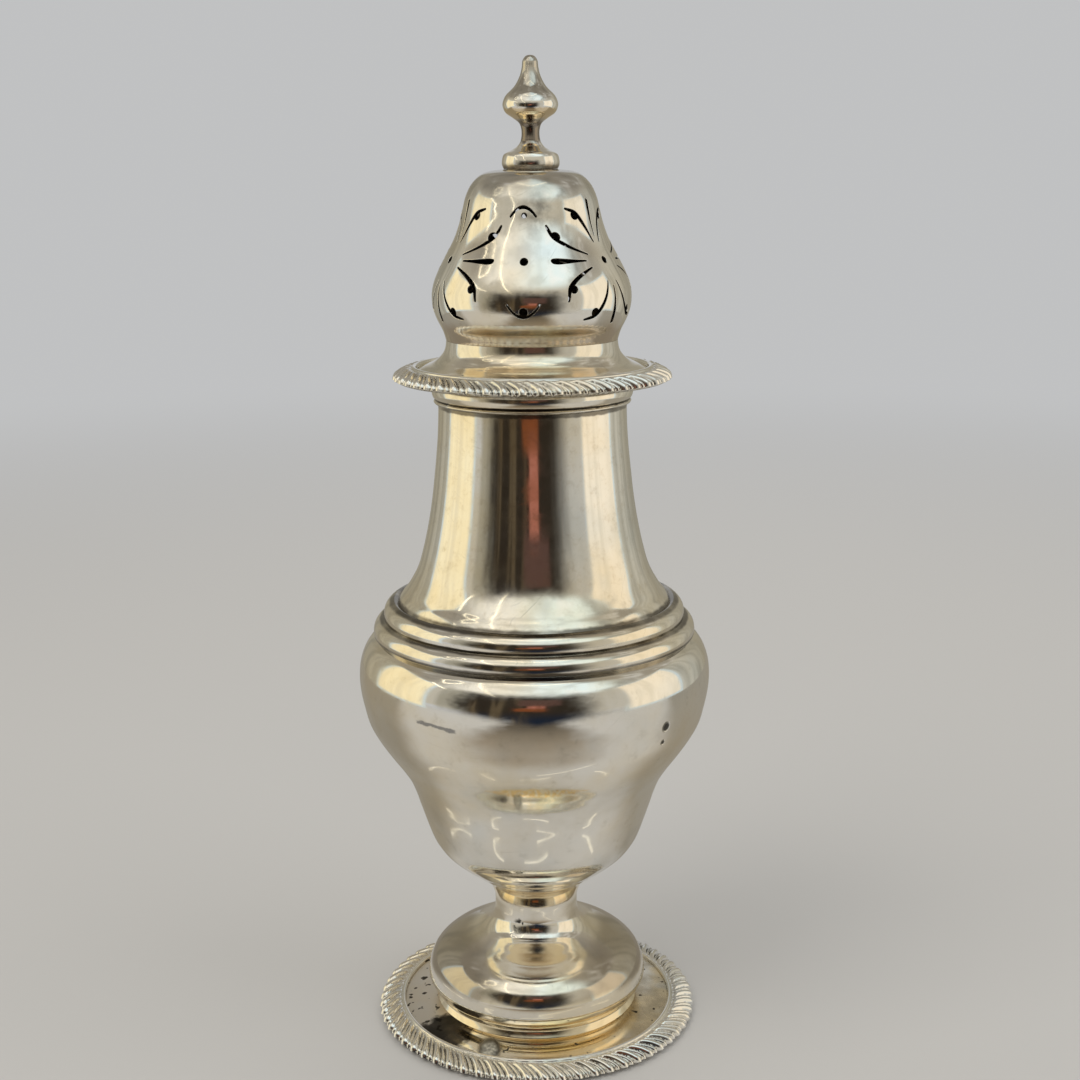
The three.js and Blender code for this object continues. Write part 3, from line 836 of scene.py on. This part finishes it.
# %% Marks on belly, dome and tray, and a painted reflection on the belly
def belly_marks_and_reflection(g, place, coat):
    """Two dark pits at the right, a short dark scrape at the left and a painted golden reflection
    of the foot's border low in front: a lens 1.5 - x^2 / 80 high, broken into beads."""
    x, y, z = g.xyz(place)
    front = g.step(y, 0, -10)
    uneven = ragged(g, place, 0.6, 1)
    lens = 1.5 - x * x * 0.0125 - abs(z - BORDER_REFLECTION_LEVEL) + uneven * 1.2
    beads = g.noise(place, (2.2, 0.3, 1.2), 2)
    scrape = g.between(z + x * 0.1 + uneven * 1.6, *SCRAPE_LEVELS, 0.3)
    scrape = scrape * g.between(x + uneven * 3, *SCRAPE_SIDES, 1)
    film = g.step(g.noise(place, 0.055, 4), 0.45, 0.68)
    # painted reflection of the foot's lobed border: golden and beaded, low in front
    coat.lay(g.step(lens, 0, 0.6) * front * g.step(beads, 0.42, 0.56, 0.35, 1), BORDER_REFLECTION_GOLD, 0.85)
    coat.lay(scrape * front, (0.12, 0.13, 0.15), 0.7)
    # patchy, darker and warmer below 68 mm, fading out by 80 mm
    coat.lay(film * g.step(z, 80, 68), (0.62, 0.55, 0.42), 0.4)
    for centre, size in PITS:
        coat.lay(spot(g, place, centre, size), SOOT, 0.92, 0.4, -PIT_DEPTH)


def dome_marks(g, place, coat):
    """Brown residue round the dome's foot, grey clouds over its crown and one dark cloud by the
    small bowed slot."""
    z = g.xyz(place)[2]
    clouds = g.noise(place, 0.22, 4)
    cloud = spot(g, place, *CROWN_CLOUD, 0.8) * g.step(clouds, 0.35, 0.6)
    coat.lay(g.step(z + clouds * 6, 174, 179.5), (0.4, 0.375, 0.33), 0.5, 0.06)
    coat.lay(cloud, (0.22, 0.205, 0.185), 0.75, 0.06)
    coat.lay(g.step(z + clouds * 4, 152.8, 149.5), (0.5, 0.36, 0.2), 0.6)


def tray_marks(g, place, coat):
    """Old tarnish: golden clouds all round, a pale film with black specks at the left, a tan one at
    the right, a black patch and a grey drop of solder with a dark ring."""
    x, y, z = g.xyz(place)
    side = g.bearing(x, y)
    left, right = g.step(side, -34, -52), g.step(side, 30, 62)
    clouds = g.noise(place, 0.16, 4)
    coat.lay(g.step(g.noise(place, 0.11, 2), 0.45, 0.6), (0.95, 0.76, 0.44), 0.6)
    coat.lay(left * g.step(clouds, 0.25, 0.5, 0.6, 0.85), (0.8, 0.74, 0.66))
    coat.lay(right * g.step(clouds, 0.3, 0.6), (0.5, 0.44, 0.34), 0.75)
    coat.rough = coat.rough + left * 0.3 + right * 0.16
    specks = g.step(g.noise(place, 0.42, 2) + left * 0.06, 0.67, 0.71)
    coat.lay(specks, (0.03, 0.025, 0.02), 0.9, 0.3)
    wander = g.vector("MULTIPLY", g.noise(place, 0.3, 3, 0.5, "Color"), (7, 7, 0))
    black = g.mix(g.step(clouds, 0.4, 0.6), (0.02, 0.017, 0.013), (0.06, 0.05, 0.04))
    coat.lay(spot(g, g.vector("ADD", place, wander), *BLACK_PATCH, 0.25), black, 0.97)
    stretched = g.vector("MULTIPLY", place, (1, 0.6, 1))
    grain = g.step(g.noise(place, 0.8, 4), 0.35, 0.65)
    grey = g.mix(grain, (0.5, 0.49, 0.45), (0.96, 0.95, 0.9))
    coat.lay(spot(g, stretched, SOLDER, 3), (0.03, 0.026, 0.022), 1, 0.3)
    coat.lay(spot(g, stretched, SOLDER, 2.2), grey, 1, 0.35, SOLDER_HEIGHT)


# %% Residue in joints and narrows, and a painted reflection on the foot's dome
def mouth_marks(g, place, coat):
    """Residue that polish never reached: under the cover's flange and in the moulding's joints."""
    level = g.xyz(place)[2] + ragged(g, place, 0.5, 0.5)
    joint = g.between(level, 133.62, 133.95, 0.12) + g.step(level, 133.25, 132.8)
    coat.lay(g.step(level, 135.7, 136.5) + joint, RESIDUE, 0.88, 0.1)


def neck_marks(g, place, coat):
    """The same residue round the top of the neck, and a faint line of it over the girdle."""
    level = g.xyz(place)[2] + ragged(g, place, 0.5, 0.6)
    film = g.step(level, 136.4, 137.4) * 0.6 + g.between(level, 132.2, 133.3, 0.4) * 0.9
    film = film + g.step(level, 92.9, 92.3)
    tarnish = g.noise(g.vector("ADD", place, (9, 4, 2)), 0.5, 6, 0.7)
    coat.lay(g.step(tarnish, 0.5, 0.75), (0.52, 0.42, 0.28), 0.3)
    coat.lay(film * g.step(g.noise(place, 0.12), 0.25, 0.5, 0.45, 1), RESIDUE, 0.85, 0.1)


def girdle_marks(g, place, coat):
    """Dark residue in the girdle's three grooves."""
    level = g.xyz(place)[2] + ragged(g, place, 0.25, 0.4)
    groove = g.between(level, 88.45, 88.9, 0.3) + g.step(level, 91.55, 91.95)
    groove = groove + g.step(level, 85.95, 85.5)
    patches = g.step(g.noise(place, 0.08), 0.3, 0.55, 0.5, 1)
    coat.lay(groove * patches, (0.05, 0.04, 0.03), 0.85, 0.1)


def stem_marks_and_reflection(g, place, coat):
    """Black flecks in the narrow of the stem, a golden bloom above it and at the foot, and a
    painted darker brown reflection on the shoulders of the foot's dome at the left and right."""
    x, y, z = g.xyz(place)
    clouds = g.noise(place, 0.09, 4)
    shoulder_reflection = g.between(z + clouds * 3, 13.5, 18.5, 1.5) * g.step(abs(x) + clouds * 8, 11, 18)
    flecks = g.step(g.noise(place, 1.2, 4), 0.5, 0.6) * spot(g, place, *STEM_FLECKS)
    coat.lay(g.step(z, 25.5, 29) + g.step(z, 8.5, 6.5) * 0.6, (0.95, 0.74, 0.38), 0.6)
    # painted darker reflection on the foot dome's shoulders, at the left and right
    coat.lay(shoulder_reflection, (0.42, 0.36, 0.28), 0.7)
    coat.lay(flecks, SOOT, 0.95, 0.3)


def finial_marks(g, place, coat):
    """Brown residue in the finial's two narrows, a golden ring under the knop and a grey tip."""
    level = g.xyz(place)[2] + ragged(g, place, 0.45, 1.6)
    narrow = g.between(level, 184, 187.4, 0.9) + g.step(level, 180, 178.8)
    coat.lay(g.step(level, 190.8, 193.5), (0.42, 0.395, 0.35), 0.65)
    coat.lay(g.between(level, 188.2, 189.6, 0.5), (0.8, 0.6, 0.3), 0.7)
    coat.lay(narrow, (0.12, 0.08, 0.045), 0.8, 0.08)


# %% Give each piece its finish
lower = silver("lower silver", bloom=0.7, marks=stem_marks_and_reflection)
turned_silver = silver("turned silver", bloom=0.6, waves=0.005, marks=finial_marks)
finishes = {
    "neck": silver("neck silver", waves=0.035, marks=neck_marks),
    "collar": silver("raised silver"),
    "mouth_band": silver("moulding silver", marks=mouth_marks),
    "stem_collar": lower,
    "stem_trumpet": lower,
    "foot_bun": lower,
    "girdle": silver("girdle silver", marks=girdle_marks),
    "belly": silver("belly silver", marks=belly_marks_and_reflection),
    "foot_tray": silver("tray silver", bloom=0.3, marks=tray_marks),
    "dome": silver("pierced silver", bloom=0.3, waves=0.02, grooves=0.97, marks=dome_marks),
    "foot_border": silver("cast border silver", bloom=0.1, mist=0.12, waves=0.01, grooves=0.9),
    "cover_border": silver("cast border silver light", bloom=0, mist=0.12, waves=0.01,
                           grooves=0.9),
    "finial_seat": turned_silver,
    "finial_knop": turned_silver,
    "sleeve": silver("sleeve silver", bloom=0.9, mist=0.2),
}
for piece in PIECES:
    piece.data.materials.append(finishes[piece.name])
print("finishes", len(set(finishes.values())))

# %% [markdown]
# ## What the silver mirrors
# A mirror shows its surroundings, so the studio is part of the finish. A picture of a real room
# would bring its own things along. Plain panels are painted by noise instead, stand where the
# bands in the photographed silver ask for them and show only in reflections.

# %% Studio pieces
BACKGROUND = (0.53, 0.535, 0.54)
MIDDLE = 100


def staged(name, mesh, material, mirrored_only=True):
    """An object of the studio, which is no part of the caster."""
    thing = linked(name, mesh)
    mesh.materials.append(material)
    if mirrored_only:
        thing.visible_camera = thing.visible_diffuse = thing.visible_shadow = False
    return thing


def glow(name, paint, lit=False):
    """A material that shines. paint gives the colour and solidity at each place."""
    material, g = blank(name)
    material.cycles.emission_sampling = "FRONT_BACK" if lit else "NONE"
    colour, solid = paint(g, g.millimetres())
    light = g.node("Emission", {"Color": colour})
    clear = g.node("BsdfTransparent")
    g.end("OutputMaterial", g.node("MixShader", {0: solid, 1: clear, 2: light}))
    return material


def disc(name, radius, level, corners, material, mirrored_only=True):
    """A flat round sheet at a level."""
    azimuth = np.linspace(0, 2 * np.pi, corners, endpoint=False)
    points = around(azimuth, radius, np.full(corners, level))
    staged(name, fill_mesh(name, points, np.arange(corners)[None]), material, mirrored_only)


def strip_between(name, first, second, material):
    """A strip of quads between two edges with the same number of points."""
    i = np.arange(len(first) - 1) * 2
    points = np.stack([first, second], 1).reshape(-1, 3)
    staged(name, fill_mesh(name, points, np.stack([i, i + 2, i + 3, i + 1], 1)), material)


def upright(name, radius, side_from, side_to, low, high, material):
    """An upright strip of a cylinder round the axis, between two azimuths in degrees."""
    azimuth = np.radians(np.linspace(side_from, side_to, 41))
    foot, top = (around(azimuth, radius, np.full(41, float(level))) for level in (low, high))
    strip_between(name, foot, top, material)


def ribbon(name, stations, width, material):
    """A narrow band along a smooth path that faces the middle of the object: its breadth goes
    along the cross product of the path's direction and the way there."""
    path = smooth(stations, 40)
    across = width / 2 * unit(np.cross(np.gradient(path, axis=0), path - (0, 0, MIDDLE)))
    strip_between(name, path - across, path + across, material)


# %% Floor
floor_material, g = blank("pale floor")
floor_material.cycles.emission_sampling = "NONE"
far = g.step(g.vector("LENGTH", g.node("TexCoord", output="Object"), output="Value"), 0.25, 1.1)
near_shade = g.node("BsdfDiffuse", {"Color": (0.58, 0.565, 0.535)})
far_shade = g.node("Emission", {"Color": BACKGROUND})
g.end("OutputMaterial", g.node("MixShader", {0: far, 1: near_shade, 2: far_shade}))
disc("floor", 4000, 0, 96, floor_material, mirrored_only=False)

# %% [markdown]
# ## Panels and the shaded floor
# Two cream panels make the bright bands on neck and shoulders, dim boards go on from them to the
# back, and a nearly black panel with a red-brown strip stands in front. The bowl mirrors the
# floor, so a painted brown shadow lies there in front, with painted shade beside and behind.
# Real rooms have few hard edges, so all of these are soft.


# %% Panels
def window(colour, side_from, side_to):
    """The paint of a cream panel between two bearings, with faint streaks and a bluish rim."""
    def paint(g, place):
        x, y, z = g.xyz(place)
        side = abs(g.bearing(x, y))
        streaks = g.noise(place, (0.03, 0.03, 0.002), 2)
        inner = g.between(side, side_from + 3, side_to - 3, 1.5) * g.between(z, 25, 395, 6)
        tone = g.mix(g.step(streaks, 0.4, 0.65) * 0.4, colour, (0.62, 0.56, 0.43))
        return g.mix(inner, (0.6, 0.68, 0.7), tone), g.between(side, side_from, side_to, 1)

    return paint


def back_board(g, place):
    """A dim warm board beside and behind the object, which darkens towards the back."""
    x, y, z = g.xyz(place)
    side = abs(g.bearing(x, y))
    streaks = g.noise(place, (0.02, 0.02, 0.002), 2)
    colour = g.mix(g.step(side, 112, 150), (0.52, 0.5, 0.43), (0.33, 0.305, 0.24))
    colour = g.mix(g.step(streaks, 0.42, 0.62) * 0.5, colour, (0.2, 0.19, 0.155))
    return colour, g.step(side, 171, 163) * g.step(z, 430, 340)


def dark_front(g, place):
    """The dim room in front: nearly black in the middle, grey to the right and upwards, with
    ragged edges, upright streaks and a red-brown strip under a darker patch."""
    x, y, z = g.xyz(place)
    streaks = g.noise(place, (0.035, 0.035, 0.004))
    clouds = g.noise(place, 0.012)
    fine = g.noise(place, 0.05, 4)
    edge = (clouds - 0.5) * 70 + (fine - 0.5) * 50
    # the nearly black middle
    core = g.step(x + edge, -205, -140) * g.step(x + edge, 165, 75)
    grey_streaks = g.step(z + edge, 150, 250) * g.step(streaks, 0.35, 0.65)
    dark = g.mix(g.step(z, 30, 100), (0.010, 0.016, 0.030), (0.026, 0.020, 0.014))
    dark = g.mix(g.step(streaks, 0.48, 0.66) * g.step(x, 0, -60), dark, (0.1, 0.075, 0.045))
    dark = g.mix(grey_streaks, dark, (0.1, 0.1, 0.1))
    # the grey beside it
    side = g.mix(g.step(x, 60, 175), (0.15, 0.15, 0.14), (0.5, 0.48, 0.43))
    side = g.mix(g.step(x, -130, -190), side, (0.33, 0.31, 0.25))
    side = g.mix(g.step(streaks, 0.4, 0.62) * 0.4, side, (0.42, 0.41, 0.37))
    side = g.mix(g.step(z, 36, 70), (0.1, 0.095, 0.08), side)
    colour = g.mix(core, side, dark)
    # the strip and the patch above it
    wavy = x + (clouds - 0.5) * 30 + (fine - 0.5) * 10
    brown = g.mix(g.step(z, 116, 124), (0.19, 0.058, 0.02), (0.4, 0.15, 0.105))
    strip = g.between(wavy, g.step(z, 115, 124, -50, -16), 24, 4) * g.between(z, 100, 134, 5)
    patch = g.between(wavy, -32, 56, 20) * g.between(z + edge * 0.3, 140, 180, 10)
    colour = g.mix(patch * 0.85, colour, (0.1, 0.055, 0.045))
    colour = g.mix(strip * 0.95, colour, brown)
    # the outline
    top = g.step(z + edge, 275, 190)
    bottom = g.step(z + edge * 0.3 - abs(x) * 0.3, -14, 34)
    return colour, top * bottom * g.between(x, -203, 197, 12)


def floor_shade(g, place):
    """A painted brown shadow on the floor in front, darkest far out, and painted shade on the floor
    beside and behind, seen only in reflections.
    """
    x, y, z = g.xyz(place)
    uneven = ragged(g, place, 0.02, 60)
    # painted shadow on the floor in front, seen only in reflections
    shadow_pool = g.between(x + uneven, -60, 45, 75) * g.step(y + uneven * 0.4, -52, -112)
    shadow_pool = shadow_pool * g.step(y, -150, -60, 0.97, 0.8)
    # painted shade on the floor beside and behind
    behind = g.step(y + uneven * 0.3, -28, 30) * 0.85
    brown = g.mix(g.step(y, -250, -80), (0.11, 0.09, 0.065), (0.29, 0.24, 0.175))
    past_foot = g.step(g.vector("LENGTH", place, output="Value"), 40, 62)
    colour = g.mix(behind, brown, (0.27, 0.25, 0.205))
    return colour, (shadow_pool + behind - shadow_pool * behind) * past_foot


# %% Stand the panels up
PANELS = {  # radius, azimuths and levels from and to, paint
    "left_panel": (480, -120, -66, 5, 410, window((1, 0.89, 0.61), 70, 117)),
    "right_panel": (480, 54, 108, 5, 410, window((0.95, 0.85, 0.69), 57, 105)),
    "left_board": (490, -172, -104, 0, 440, back_board),
    "right_board": (490, 100, 172, 0, 440, back_board),
    "front_panel": (240, -62, 62, 0, 340, dark_front),
}
SHADE_RADIUS, SHADE_LEVEL = 700, 0.6
for name, (*reach, paint) in PANELS.items():
    upright(name, *reach, glow(name, paint))
disc("floor_shade", SHADE_RADIUS, SHADE_LEVEL, 36, glow("floor shade", floor_shade))
print("panels", len(PANELS))

# %% [markdown]
# ## Light tubes and lines
# The bright curls on shoulders and bowl are mirrored lamps and edges of the room. Thin ribbons
# along smooth paths make them: tubes overhead, placed by their angles, and pale lines on the
# floor in front.

# %% Light tubes
TUBE_WIDTH = 8
TUBES = {
    "tube_left": [(-20, 20), (-32, 34), (-40, 43), (-47, 50), (-60, 62)],
    "tube_far_left": [(-54, 26), (-66, 29), (-78, 34)],
    "tube_loop": [(-72, 39), (-79, 46), (-76, 52), (-67, 52), (-64, 46), (-72, 39)],
    "tube_top": [(-60, 72), (0, 66), (60, 72)],
}


def even(colour, solid):
    """The paint of a ribbon that has one colour all over."""
    return lambda g, place: (colour, solid)


def by_angles(azimuth, elevation, distance=520):
    """A place seen from the middle of the object at two angles in degrees."""
    azimuth, elevation = math.radians(azimuth), math.radians(elevation)
    return around(azimuth, distance * math.cos(elevation), MIDDLE + distance * math.sin(elevation))


tube = glow("tube light", even((2.3, 2.1, 1.6), 0.95), lit=True)
for name, angles in TUBES.items():
    ribbon(name, [by_angles(*pair) for pair in angles], TUBE_WIDTH, tube)

# %% Lines on the floor
LINE_WIDTH = 1.4
LINE_LEVEL = 1
FLOOR_LINES = {
    "line_arc": [(-9, -43), (2, -44.5), (10, -47)],
    "line_long": [(1, -52), (22, -57), (53, -66)],
    "line_hook": [(-31, -45), (-35, -40), (-32, -37), (-25, -37)],
    "line_left": [(-62, 5), (-61, -13), (-52, -24)],
    "line_right": [(44, -24), (43, -34), (40, -40)],
}
line_light = glow("pale line", even((0.95, 0.9, 0.76), 0.8))
for name, stations in FLOOR_LINES.items():
    ribbon(name, [(x, y, LINE_LEVEL) for x, y in stations], LINE_WIDTH, line_light)
print("ribbons", len(TUBES) + len(FLOOR_LINES))

# %% [markdown]
# ## Ceiling, walls and lamps
# The world is three things, chosen by the kind of ray: the plain background for the camera, an
# even grey light for the floor, and a mottled ceiling over dim walls for the silver. The lamps
# give the floor its soft shadow. The silver doesn't mirror them, as hard squares would show.

# %% World
world = bpy.data.worlds.new("studio")
bpy.context.scene.world = world
world.use_nodes = True
g = Graph(world.node_tree)
way = g.node("TexCoord", output="Generated")
x, y, z = g.xyz(way)
bearing = g.bearing(x, y)
side = abs(bearing)
up = g.node("Math", {0: z}, operation="ARCSINE") * math.degrees(1)
clouds = g.noise(way, 2.4, 3)
wall = g.mix(g.step(side, 112, 150), (0.5, 0.47, 0.4), (0.36, 0.335, 0.27))
wall = g.mix(g.step(side, 164, 172), wall, BACKGROUND)
ceiling = g.mix(g.step(bearing, -35, 25), (0.92, 0.88, 0.78), (0.84, 0.97, 1))
ceiling = g.mix(g.step(side, 48, 88), ceiling, (0.31, 0.285, 0.24))
dim_clouds = g.step(clouds, 0.5, 0.66) * g.step(side, 20, 60, 0.25, 0.7)
ceiling = g.mix(dim_clouds, ceiling, (0.2, 0.185, 0.16))
ceiling = g.mix(g.step(clouds, 0.46, 0.34) * 0.5, ceiling, (1, 1, 0.98))
mirrored = g.mix(g.step(up, 22, 40), wall, ceiling)
seen, glossy, through = (g.node("LightPath", output=f"Is {kind} Ray")
                         for kind in ("Camera", "Glossy", "Transmission"))
colour = g.mix(glossy + through, (0.55, 0.55, 0.55), mirrored)
colour = g.mix(seen, colour, BACKGROUND)
g.end("OutputWorld", g.node("Background", {"Color": colour, "Strength": 1}))

# %% Lamps
LAMP_AIM = Vector((0, 0, 0.09))


def lamp(name, place, size, watts, colour=(1, 1, 1)):
    """A square soft box that looks at the object and isn't mirrored in it."""
    data = bpy.data.lights.new(name, "AREA")
    data.size, data.energy, data.color = size, watts, colour
    thing = linked(name, data)
    thing.location = place
    thing.rotation_euler = (LAMP_AIM - Vector(place)).to_track_quat("-Z", "Y").to_euler()
    thing.visible_glossy = False


lamp("key", (-0.45, -0.35, 0.75), 0.5, 2.2, (1, 0.97, 0.92))
lamp("fill", (0.6, -0.2, 0.6), 0.6, 1.2)
lamp("back", (0.1, 0.6, 0.7), 0.5, 1.2)


bpy.context.scene.view_settings.view_transform = "Standard"
